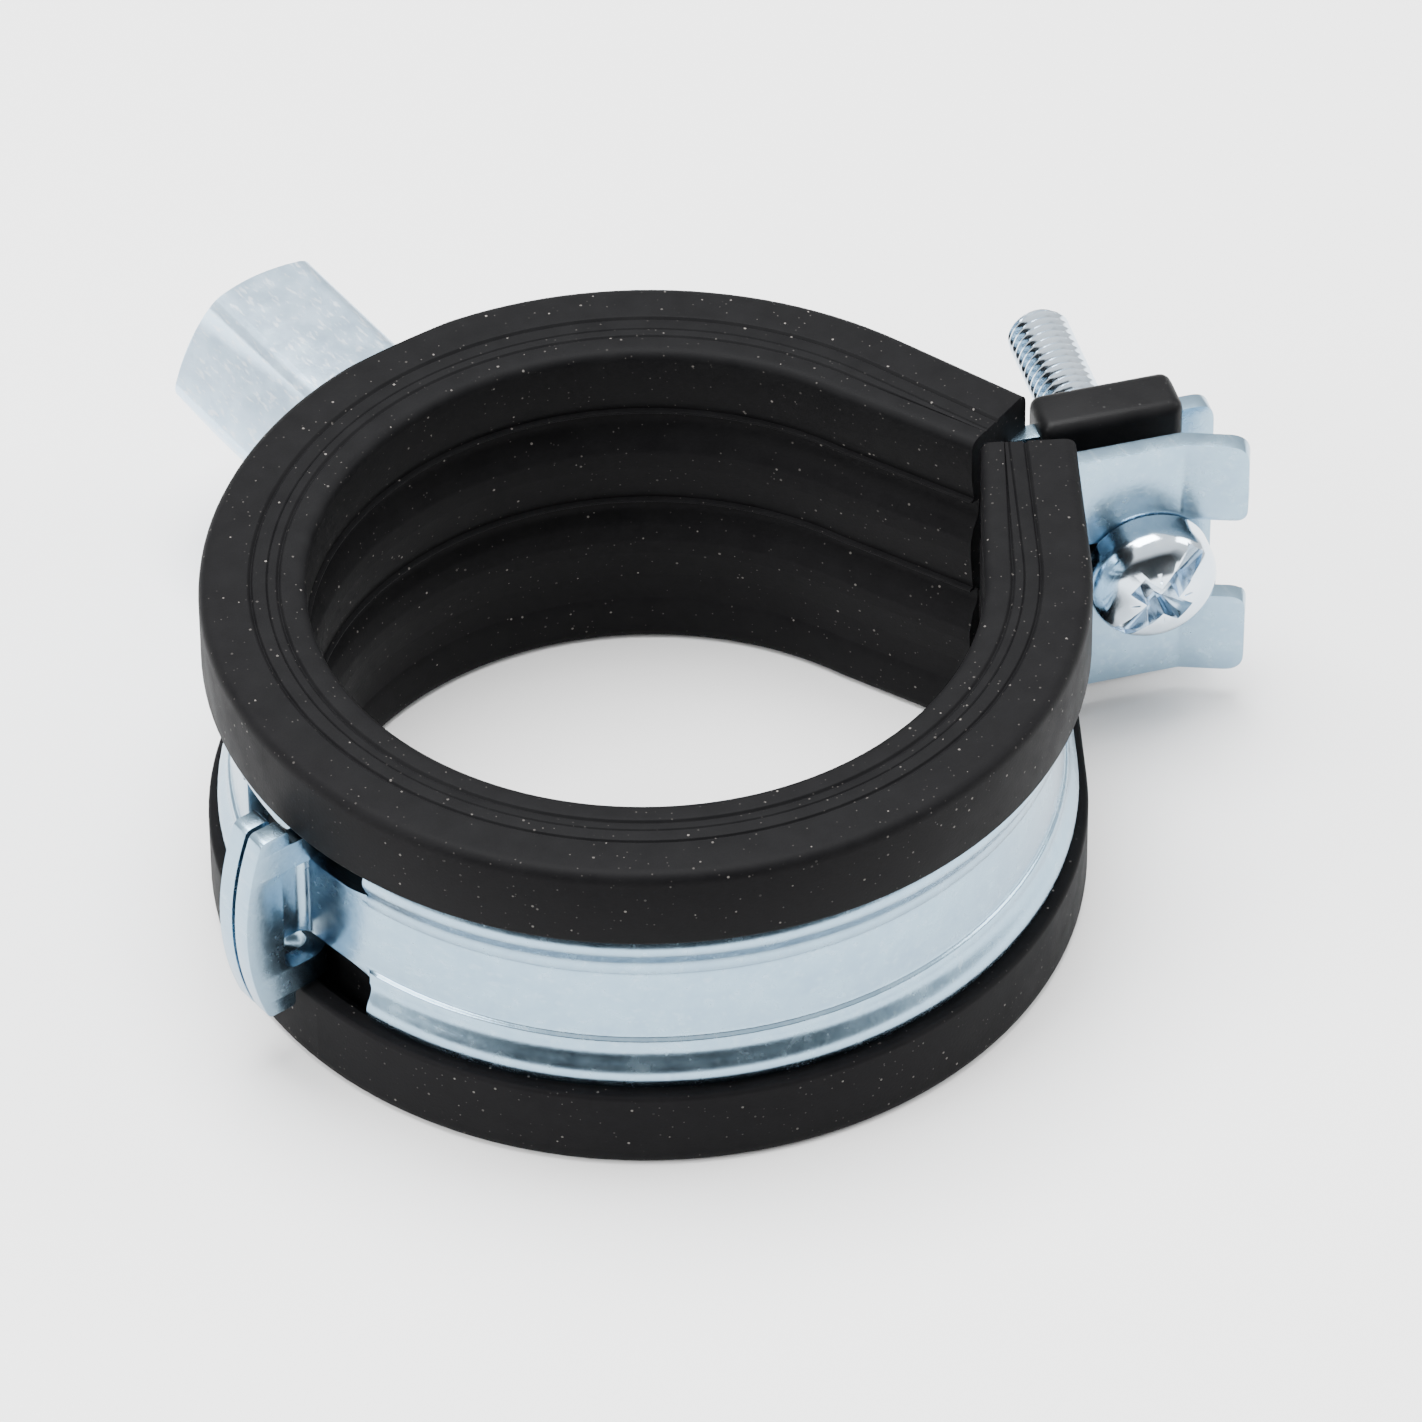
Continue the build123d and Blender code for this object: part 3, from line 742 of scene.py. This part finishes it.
@dataclass
class SwingStrap(Strap):
    """The half that swings: a T head on a neck at the hinge and a forked flange at the closure."""

    tangent: float = -31.5
    flange_n: float = 6.4
    flange_end: float = 48.5
    flange_half: float = 11.2
    ear_t: float = -0.4
    t_root: float = 34.3
    neck_half: float = 3.7
    neck_wide: float = 4.15
    neck_length: float = 7.2
    tab_at: float = 43.8
    tab_lean: float = 20.0
    fork_root: float = 34.5
    fork_half: float = 3.0
    fork_mouth: float = 3.85
    screw_at: float = 41.0
    dish: float = 0.09

    def route(self) -> Route:
        """The outer face from the T head's tip to the ends of the fork."""
        closing = radians(self.tangent - CLOSURE.angle)
        meet = (self.outside - self.flange_n * sin(closing)) / cos(closing)
        lead = radians(self.lead)
        start = HINGE.angle + self.lead
        half = (self.tangent + 360 - start) / 2
        tab = self.flange_end - self.tab_at
        corners = [HINGE.point(self.ear_top, self.ear_t),
                   HINGE.point((self.outside - self.ear_t * sin(lead)) / cos(lead), self.ear_t),
                   polar(start + half, self.outside / cos(radians(half))),
                   CLOSURE.point(meet, self.flange_n), CLOSURE.point(self.tab_at, self.flange_n),
                   CLOSURE.point(self.tab_at + tab, self.flange_n - tab * tan(radians(self.tab_lean)))]
        return Route.through(corners, [self.bend, self.outside, self.bend, self.bend], outward=-1)

    def build(self, finishes: Finishes) -> bpy.types.Object:
        """Makes and dresses the strap."""
        route = self.route()
        end = route.length
        bend = route.locate(CLOSURE.point(self.tab_at, self.flange_n))
        step = route.locate(CLOSURE.point(34.6, self.flange_n))
        root = route.locate(CLOSURE.point(self.fork_root, self.flange_n))
        seat = route.locate(CLOSURE.point(self.screw_at, self.flange_n))
        neck = route.locate(HINGE.point(self.outside, self.neck_length))
        head = self.ear_top - self.t_root
        outer = rounded([*self.ear_edge(), (head, self.ear_half), (head, self.neck_half),
                         (neck - 2.4, self.neck_half), (neck, self.neck_wide), (neck, self.strip),
                         (step - 0.6, self.strip), (step, self.flange_half), (end, self.flange_half),
                         (end, self.fork_mouth), (bend + 0.3, self.fork_mouth), (bend - 1.5, self.fork_half),
                         (root, self.fork_half), (root, 0.0)],
                        [0.0] * 9 + [1.8, 0.5, 0.6, 1.5, 1.3, 1.2, 0.4, 0.4, 1.6, 1.2, 0.6, 0.5, 2.6])
        straight = route.legs[5].start - 3.0

        def height(u: float, z: float) -> float:
            """Beads from the neck to the closure's bend, and a shallow dish round the screw's head."""
            bead = self.bead_height(z) * (1 - ramp(u, straight - 1.5, straight)) * ramp(u, neck - 0.6, neck - 0.3)
            away = hypot(u - seat, z)
            return bead - self.dish * ramp(away, 4.7, 6.2) * (1 - ramp(away, 6.4, 9.6))

        fades = [neck - 0.6, neck - 0.3] + [straight - 1.5 + i * 0.3 for i in range(6)]
        fades += [seat + 0.5 * i for i in range(-16, 5)]
        strap = self.press("strap_swing", route, outer, height, fades)
        Bench.soften(strap, self.edge, 3, angle=55)
        Bench.finish(strap)
        dress(strap, finishes.strap)
        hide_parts("strap_swing_half")
        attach(strap, Body.SWING_HALF.value)
        return strap


# --- rubber liner ---------------------------------------------------------------------------------


@dataclass
class Liner:
    """The rubber: one profiled length round the pipe, split at the closure."""

    bore: float = 25.1
    outside: float = 33.15
    rim: float = 14.45
    lip: float = 7.7
    pocket: float = 31.75
    seat: float = 29.75
    strap_edge: float = 10.05
    straight: tuple[float, float] = (11.5, 13.0)
    thinning: float = 0.85
    nut_tangent: float = 19.5
    swing_tangent: float = 328.5
    bridge: float = 5.0
    step: float = 2.5
    nut_flat: float = 32.5
    flange_n: tuple[float, float] = (10.4, 12.1)
    flange_half: float = 11.0

    def section(self) -> list[Flat]:
        """The rubber's section as radius and height, all the way round."""
        face = [(self.bore, self.rim), (27.0, self.rim), (27.2, self.rim - 0.28), (27.4, self.rim - 0.06),
                (27.95, self.rim - 0.04), (28.05, self.rim - 0.14), (28.15, self.rim - 0.04),
                (29.1, self.rim - 0.05), (29.25, self.rim - 0.3), (29.5, self.rim), (self.outside, self.rim)]
        radii = [1.1, 0.15, 0.1, 0.1, 0.0, 0.0, 0.0, 0.1, 0.1, 0.15, 1.0]
        lip = [(self.outside, self.lip), (self.pocket, self.lip), (self.pocket, self.strap_edge),
               (self.seat, self.strap_edge)]
        top = rounded([(self.bore, 11.0), *face, *lip], [*radii, 0.4, 0.0, 0.0], step=20)
        bottom = [(r, -z) for r, z in reversed(top)]
        wall = rounded([(25.1, -11.0), (25.34, -10.4), (25.36, -8.0), (25.1, -5.6), (25.1, -4.4), (25.5, -2.9),
                        (26.1, -1.95), (26.1, -0.6), (25.1, -0.45), (25.1, -0.25), (25.46, -0.2), (25.12, 3.0),
                        (25.1, 4.6), (25.5, 5.8), (26.1, 6.75), (26.1, 8.3), (25.1, 8.45), (25.1, 8.65),
                        (25.46, 8.7), (25.1, 11.0)],
                       [0.5, 1.5, 1.5, 1.2, 1.5, 1.0, 0.3, 0.1, 0.06, 0.06, 2.0, 1.2, 1.2, 1.5, 1.0, 0.1, 0.06, 0.06],
                       step=12)
        return [*top, *bottom[:-1], *wall[:-1]]

    def stretch(self, name: str, start: float, end: float, straight: float) -> bpy.types.Object:
        """Spins a length of the rubber about the pipe.

        Args:
            name: the piece's name.
            start: angle at which it starts, where a straight is drawn on if it has one.
            end: angle at which it ends.
            straight: how far a straight runs on from start, with the sign of its side, or 0.

        Returns:
            The closed length of rubber.
        """
        obj = Bench.trace(name, [(r, 0.0, z) for r, z in self.section()])
        bpy.ops.mesh.spin(steps=max(2, ceil(abs(end - start) / self.step)), angle=radians(start - end),
                          center=(0, 0, 0), axis=(0, 0, 1))
        bpy.ops.mesh.edge_face_add()
        Bench.edit(obj, "DESELECT")
        Bench.clear()
        for vertex in obj.data.vertices:
            vertex.select = abs(vertex.co.y) < 0.001 and vertex.co.x > 0
        Bench.hold(obj)
        bpy.ops.object.mode_set(mode="EDIT")
        bpy.ops.mesh.edge_face_add()
        if straight:
            for _ in range(4):
                bpy.ops.mesh.extrude_region_move(TRANSFORM_OT_translate={"value": (0, straight / 4, 0)})
        Bench.clear()
        for vertex in obj.data.vertices:
            way = vertex.co.y / straight if straight else 0.0
            if 0 < way < 1.01 and 0 < vertex.co.x < 28:
                vertex.co.x += self.thinning * way * ramp(-vertex.co.x, -28.0, -26.6)
        Bench.move(obj, Matrix.Rotation(radians(start), 4, "Z"))
        Bench.tidy(obj)
        return obj

    def build(self, finishes: Finishes) -> list[bpy.types.Object]:
        """Makes and dresses the two halves and the short length that lies at the hinge."""
        nut = self.stretch("liner_nut", self.nut_tangent, HINGE.angle - self.bridge, -self.straight[0])
        swing = self.stretch("liner_swing", self.swing_tangent, HINGE.angle + self.bridge, self.straight[1])
        bridge = self.stretch("liner_bend", HINGE.angle - self.bridge, HINGE.angle + self.bridge, 0)
        low, high = self.flange_n
        slit = Bench.block("slit", (29.0, low, -self.flange_half), (60.0, high, self.flange_half))
        Bench.move(slit, CLOSURE.matrix())
        Bench.carve(nut, slit)
        seat = Bench.block("nut_seat", (-10, self.nut_flat, -20), (10, self.nut_flat + 10, 20))
        Bench.carve(nut, seat)
        for piece in (nut, swing, bridge):
            Bench.finish(piece, 40.0)
            dress(piece, finishes.rubber)
        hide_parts("liner_nut_half")
        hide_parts("liner_swing_half")
        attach(nut, Body.NUT_HALF.value)
        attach(swing, Body.SWING_HALF.value)
        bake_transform(bridge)
        return [nut, swing, bridge]


# --- hanger nut -------------------------------------------------------------------------------------


@dataclass
class HangerNut:
    """The long hexagon that takes the hanger rod."""

    flats: float = 14.4
    seat: float = 31.8
    end: float = 52.9
    chamfer: float = 1.3
    edge: float = 1.1
    outer_thread: tuple[float, float, float] = (4.25, 5.0, 1.5)
    inner_thread: tuple[float, float, float] = (3.4, 4.0, 1.25)
    depth: float = 10.0

    def thread(self, name: str, sizes: tuple[float, float, float], start: float, end: float) -> bpy.types.Object:
        """Winds the ridge of an inner thread from one height to another."""
        core, root, pitch = sizes
        ridge = [(root + 0.15, 0.0, 0.05), (core, 0.0, pitch * 0.42), (core, 0.0, pitch * 0.58),
                 (root + 0.15, 0.0, pitch - 0.05)]
        obj = Bench.trace(name, ridge)
        Bench.clear()
        turns = int((end - start - 0.2) / pitch) - 1
        Bench.modify(obj, "SCREW", screw_offset=pitch, iterations=turns, steps=40, render_steps=40, axis="Z")
        Bench.edit(obj, "DESELECT")
        bpy.ops.mesh.select_non_manifold()
        bpy.ops.mesh.fill()
        Bench.tidy(obj)
        Bench.move(obj, Matrix.Translation((0, 0, start + 0.1)))
        return obj

    def build(self, finishes: Finishes) -> list[bpy.types.Object]:
        """Makes and dresses the nut and its two threads."""
        length = self.end - self.seat
        corner = self.flats / 2 / cos(pi / 6)
        Bench.clear()
        bpy.ops.mesh.primitive_cylinder_add(vertices=6, radius=corner, depth=length,
                                            location=(0, 0, length / 2), rotation=(0, 0, pi / 6))
        nut = bpy.context.object
        nut.name = "hanger_nut_body"
        bpy.ops.object.transform_apply(location=True, rotation=True, scale=True)
        Bench.edit(nut, "DESELECT")
        bpy.ops.mesh.select_mode(type="EDGE")
        Bench.clear()
        for edge in nut.data.edges:
            a, b = (nut.data.vertices[i].co for i in edge.vertices)
            edge.select = abs(a.z - b.z) > length / 2
        Bench.hold(nut)
        bpy.ops.object.mode_set(mode="EDIT")
        bpy.ops.mesh.bevel(offset=self.edge * tan(pi / 6), segments=4, affect="EDGES")
        bpy.ops.mesh.select_mode(type="VERT")
        Bench.clear()
        drop = self.chamfer * tan(pi / 6)
        cone = Bench.lathe("cone", [(0, -1), (corner + 2, -1), (corner + 2, length - drop - 2 * tan(pi / 6)),
                                    (corner - self.chamfer, length), (0, length)], 96)
        Bench.carve(nut, cone, "INTERSECT")
        wide, narrow = self.outer_thread[1], self.inner_thread[1]
        hole = Bench.lathe("hole", [(0, length - 2 * self.depth), (narrow, length - 2 * self.depth),
                                    (narrow, length - self.depth), (wide, length - self.depth),
                                    (wide, length - 0.6), (wide + 1.6, length + 1.0), (0, length + 1.0)], 64)
        Bench.carve(nut, hole)
        Bench.soften(nut, 0.15, angle=25)
        outer = self.thread("hanger_thread_outer", self.outer_thread, length - self.depth, length - 0.4)
        inner = self.thread("hanger_thread_inner", self.inner_thread, length - 2 * self.depth,
                            length - self.depth)
        place = Matrix.Translation((0, self.seat, 0)) @ Matrix.Rotation(-pi / 2, 4, "X")
        for piece in (nut, outer, inner):
            Bench.move(piece, place)
            Bench.finish(piece, 30.0)
            dress(piece, finishes.nut)
            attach(piece, Body.NUT_HALF.value)
        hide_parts("hanger_nut")
        return [nut, outer, inner]


# --- closing screw ----------------------------------------------------------------------------------


@dataclass
class ClampScrew:
    """The pan head screw with a slot and a cross, and its thread."""

    at: float = 41.0
    bearing: float = 6.35
    length: float = 29.0
    major: float = 2.5
    minor: float = 2.12
    pitch: float = 0.8
    head: float = 5.0
    head_height: float = 4.5
    turn: float = -49.0

    def head_body(self) -> bpy.types.Object:
        """The domed head with its drive recess; its top faces -Z."""
        top = -self.head_height
        dome = rounded([(0.0, top), (2.0, top + 0.1), (self.head, top + 1.3), (self.head, 0.0), (0.0, 0.0)],
                       [4.0, 2.6, 0.25], step=6)
        head = Bench.lathe("screw_head", dome, 72)
        for angle, reach, width, depth in ((0.0, 5.2, 1.8, 2.1), (90.0, 3.1, 1.9, 2.6), (0.0, 3.1, 1.9, 2.6)):
            arm = Bench.block("arm", (-reach, -width / 2, top - 1), (reach, width / 2, top + depth))
            for vertex in arm.data.vertices:
                if vertex.co.z > top:
                    shrink = 0.52 if reach < 4 else 0.86
                    vertex.co.x *= shrink
                    vertex.co.y *= 0.8
            Bench.move(arm, Matrix.Rotation(radians(self.turn + angle), 4, "Z"))
            Bench.carve(head, arm)
        for i in range(4):
            tick = Bench.block("tick", (1.75, -0.08, top - 0.5), (2.9, 0.08, top + 0.3))
            Bench.move(tick, Matrix.Rotation(radians(self.turn + 45 + 90 * i), 4, "Z"))
            Bench.carve(head, tick)
        Bench.soften(head, 0.07, angle=35)
        return head

    def shank(self) -> bpy.types.Object:
        """The threaded shank, cut to length with a chamfered tip."""
        tooth = [(self.minor, 0, 0), (self.minor, 0, self.pitch * 0.08), (self.major - 0.08, 0, self.pitch * 0.34),
                 (self.major, 0, self.pitch * 0.46), (self.major, 0, self.pitch * 0.62),
                 (self.major - 0.08, 0, self.pitch * 0.74), (self.minor, 0, self.pitch)]
        obj = Bench.trace("screw_thread", tooth, closed=False)
        Bench.clear()
        turns = ceil(self.length / self.pitch) + 3
        Bench.modify(obj, "SCREW", screw_offset=self.pitch, iterations=turns, steps=48, render_steps=48,
                     axis="Z", use_merge_vertices=True, merge_threshold=0.001)
        Bench.move(obj, Matrix.Translation((0, 0, -1.5 * self.pitch)))
        for height, normal in ((-0.3, -1.0), (self.length, 1.0)):
            Bench.edit(obj)
            bpy.ops.mesh.bisect(plane_co=(0, 0, height), plane_no=(0, 0, normal), use_fill=True,
                                clear_outer=True, threshold=0.0005)
            Bench.clear()
        Bench.edit(obj)
        Bench.cut(2, [self.length - 0.8 + 0.1 * i for i in range(8)])
        Bench.clear()
        for vertex in obj.data.vertices:
            reach = hypot(vertex.co.x, vertex.co.y)
            most = 1.7 + (self.length - vertex.co.z)
            if reach > most:
                vertex.co.x *= most / reach
                vertex.co.y *= most / reach
        Bench.tidy(obj)
        return obj

    def build(self, finishes: Finishes) -> list[bpy.types.Object]:
        """Makes and dresses the head and the shank."""
        base = CLOSURE.point(self.at, self.bearing)
        place = Matrix.Translation(base) @ CLOSURE.matrix() @ Matrix.Rotation(-pi / 2, 4, "X")
        pieces = [self.head_body(), self.shank()]
        for piece in pieces:
            Bench.move(piece, place)
            Bench.finish(piece, 30.0)
            dress(piece, finishes.screw)
            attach(piece, Body.SCREW.value)
        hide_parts("clamp_screw")
        return pieces


# --- screw retainer ---------------------------------------------------------------------------------


@dataclass
class Retainer:
    """The plastic sleeve on the rear flange that keeps the screw."""

    start: float = 33.7
    end: float = 44.9
    front: float = 9.5
    back: float = 14.0
    half: float = 12.5
    radius: float = 0.95

    def build(self, finishes: Finishes) -> bpy.types.Object:
        """Makes and dresses the sleeve."""
        body = Bench.block("retainer", (self.start, self.front, -self.half), (self.end, self.back, self.half))
        Bench.soften(body, self.radius, 5)
        slot = Bench.block("slot", (self.start - 5, 10.45, -10.95), (self.end + 5, 12.05, 10.95))
        Bench.carve(body, slot)
        Bench.clear()
        bpy.ops.mesh.primitive_cylinder_add(vertices=48, radius=2.75, depth=20, location=(41.0, 12, 0),
                                            rotation=(pi / 2, 0, 0))
        bpy.ops.object.transform_apply(location=True, rotation=True, scale=True)
        Bench.carve(body, bpy.context.object)
        Bench.move(body, CLOSURE.matrix())
        Bench.finish(body, 30.0)
        dress(body, finishes.plastic)
        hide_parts("screw_retainer")
        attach(body, Body.NUT_HALF.value)
        return body


# --- studio -----------------------------------------------------------------------------------------


@dataclass
class Studio:
    """Floor, lights and camera."""

    floor_z: float = -14.45
    near_edge: float = 88.0
    camera_at: tuple[float, float, float] = (-355.85, -520.35, 570.2)
    azimuth: float = -34.8
    elevation: float = 42.1
    roll: float = -0.44
    lens: float = 287.4

    def light(self, name: str, place: tuple[float, float, float], size: float, power: float) -> None:
        """A square soft light that faces the clamp."""
        Bench.clear()
        bpy.ops.object.light_add(type="AREA", location=Vector(place) * MM)
        lamp = bpy.context.object
        lamp.name = name
        lamp.data.size = size * MM
        lamp.data.energy = power
        lamp.rotation_euler = (-lamp.location).to_track_quat("-Z", "Y").to_euler()

    def build(self) -> None:
        """Lays the floor, sets the lights and the surroundings and stands the camera."""
        Bench.clear()
        bpy.ops.mesh.primitive_plane_add(size=1.0, location=(0, 0, 0))
        floor = bpy.context.object
        floor.name = "floor"
        Bench.move(floor, Matrix.Diagonal((2000, 1200, 1, 1)))
        Bench.move(floor, Matrix.Rotation(radians(self.azimuth), 4, "Z")
                   @ Matrix.Translation((0, 600 - self.near_edge, self.floor_z)))
        Bench.move(floor, Matrix.Diagonal((MM, MM, MM, 1)))
        material, _, shader, _ = new_material("floor_paint")
        shader.inputs["Base Color"].default_value = (0.9, 0.9, 0.9, 1.0)
        shader.inputs["Roughness"].default_value = 0.8
        floor.data.materials.append(material)
        self.light("overhead", (0, 120, 700), 500, 14.0)
        self.light("left", (-650, 60, 380), 350, 5.0)
        self.light("right", (600, -250, 420), 300, 3.0)
        self.surround()
        self.camera()

    def surround(self) -> None:
        """A pale room, brightest overhead, with a dark corner low down in front of the clamp."""
        world = bpy.data.worlds.new("studio")
        bpy.context.scene.world = world
        world.use_nodes = True
        sheet = Sheet(world.node_tree)
        place = sheet.add("ShaderNodeTexCoord").outputs["Generated"]
        split = sheet.add("ShaderNodeSeparateXYZ", Vector=place)
        level = sheet.add("ShaderNodeMapRange", Value=split.outputs["Z"], From_Min=0.0, From_Max=0.8,
                          To_Min=0.9, To_Max=1.5)
        front = polar(self.azimuth - 90)
        ahead = sheet.add("ShaderNodeVectorMath", operation="DOT_PRODUCT", i0=place, i1=front)
        wide = sheet.add("ShaderNodeMapRange", Value=ahead.outputs["Value"], From_Min=0.4, From_Max=0.75,
                         To_Min=1.0, To_Max=0.04)
        high = sheet.add("ShaderNodeMapRange", Value=split.outputs["Z"], From_Min=0.25, From_Max=0.5)
        lit = sheet.add("ShaderNodeMath", operation="MAXIMUM", i0=wide.outputs[0], i1=high.outputs[0])
        total = sheet.add("ShaderNodeMath", operation="MULTIPLY", i0=level.outputs[0], i1=lit.outputs[0])
        background = world.node_tree.nodes["Background"]
        background.inputs["Color"].default_value = (1.0, 1.0, 1.0, 1.0)
        sheet.join(total.outputs[0], background.inputs["Strength"])

    def camera(self) -> None:
        """Stands the camera at its angle, turned a little about its own axis."""
        Bench.clear()
        bpy.ops.object.camera_add(location=Vector(self.camera_at) * MM)
        camera = bpy.context.object
        tilt = Matrix.Rotation(radians(90 - self.elevation), 4, "X")
        camera.matrix_world = (Matrix.Translation(camera.location) @ Matrix.Rotation(radians(self.azimuth), 4, "Z")
                               @ tilt @ Matrix.Rotation(radians(self.roll), 4, "Z"))
        camera.data.lens = self.lens
        camera.data.sensor_width = 36.0
        camera.data.clip_start = 0.01
        bpy.context.scene.camera = camera


def main() -> None:
    """Builds the clamp piece by piece, then the studio."""
    logging.basicConfig(level=logging.INFO, format="%(name)s %(message)s")
    finishes = Finishes()
    Liner().build(finishes)
    NutStrap().build(finishes)
    SwingStrap().build(finishes)
    HangerNut().build(finishes)
    ClampScrew().build(finishes)
    Retainer().build(finishes)
    Studio().build()


if __name__ == "__main__":
    main()
